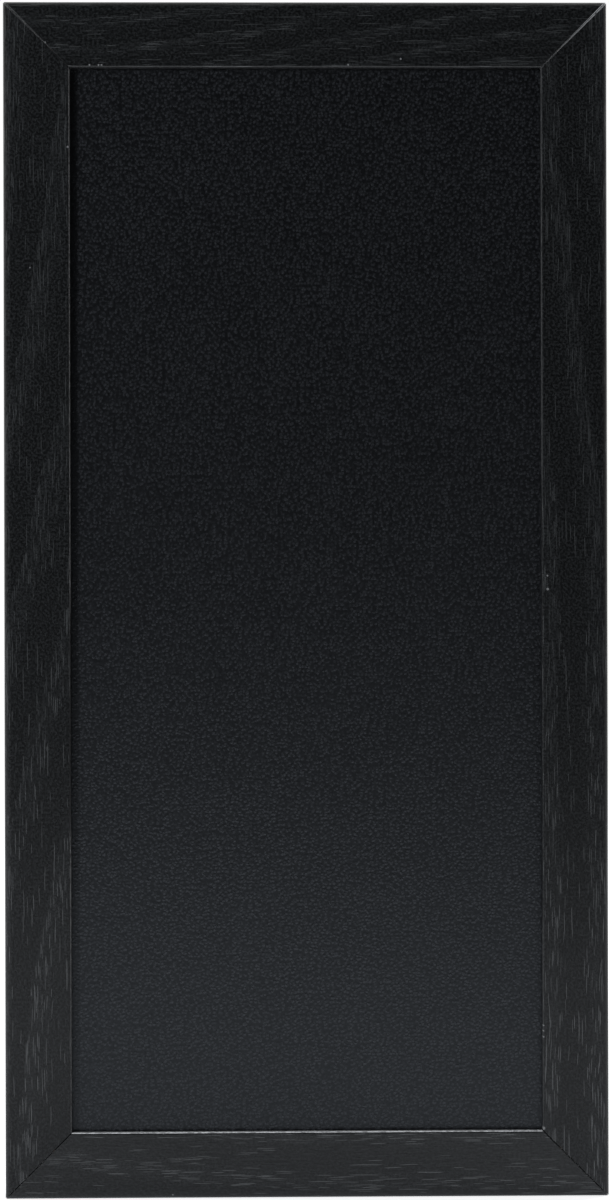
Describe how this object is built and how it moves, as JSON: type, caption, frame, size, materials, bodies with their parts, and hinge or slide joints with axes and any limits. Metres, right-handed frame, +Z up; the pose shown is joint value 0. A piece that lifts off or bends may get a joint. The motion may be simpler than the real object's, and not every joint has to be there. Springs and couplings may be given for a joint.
{
  "type": "wall chalkboard",
  "caption": "Narrow wall chalkboard: a chalk-coated panel in a mitred black wood-grain frame, with saw-tooth hangers and rubber bumpers behind.",
  "frame": {"origin": "the point on the wall straight behind the middle notch of the upright hanger, where the nail carries the board", "axes": "+Z up along the board's long side, +Y into the wall, so the chalk surface faces -Y, and +X to the right of someone who faces the board"},
  "size_m": [0.202, 0.0147, 0.4],
  "materials": {
    "black_wood_foil": "satin black foil with an embossed wood grain, over fibreboard",
    "chalk_coat": "matte black chalk coat with a fine pebbled grain, on hardboard",
    "zinc_plated_steel": "bright zinc plating",
    "blued_steel": "blued spring steel",
    "dark_rubber": "matte dark grey rubber"
  },
  "bodies": {
    "root": {"top_rail": "black_wood_foil", "bottom_rail": "black_wood_foil", "left_stile": "black_wood_foil", "right_stile": "black_wood_foil", "chalk_panel": "chalk_coat", "v_nail_top_left_outer": "blued_steel", "v_nail_top_left_inner": "blued_steel", "v_nail_top_right_outer": "blued_steel", "v_nail_top_right_inner": "blued_steel", "v_nail_bottom_right_outer": "blued_steel", "v_nail_bottom_right_inner": "blued_steel", "v_nail_bottom_left_outer": "blued_steel", "v_nail_bottom_left_inner": "blued_steel", "panel_tab_left_stile_1": "zinc_plated_steel", "panel_tab_left_stile_2": "zinc_plated_steel", "panel_tab_left_stile_3": "zinc_plated_steel", "panel_tab_left_stile_4": "zinc_plated_steel", "panel_tab_right_stile_1": "zinc_plated_steel", "panel_tab_right_stile_2": "zinc_plated_steel", "panel_tab_right_stile_3": "zinc_plated_steel", "panel_tab_right_stile_4": "zinc_plated_steel", "panel_tab_top_rail_1": "zinc_plated_steel", "panel_tab_top_rail_2": "zinc_plated_steel", "panel_tab_bottom_rail_1": "zinc_plated_steel", "panel_tab_bottom_rail_2": "zinc_plated_steel", "hanger_upright": "zinc_plated_steel", "hanger_upright_pin_1": "zinc_plated_steel", "hanger_upright_pin_2": "zinc_plated_steel", "hanger_sideways": "zinc_plated_steel", "hanger_sideways_pin_1": "zinc_plated_steel", "hanger_sideways_pin_2": "zinc_plated_steel", "bumper_upper_left": "dark_rubber", "bumper_lower_left": "dark_rubber", "bumper_upper_right": "dark_rubber", "bumper_lower_right": "dark_rubber"}
  },
  "joints": []
}
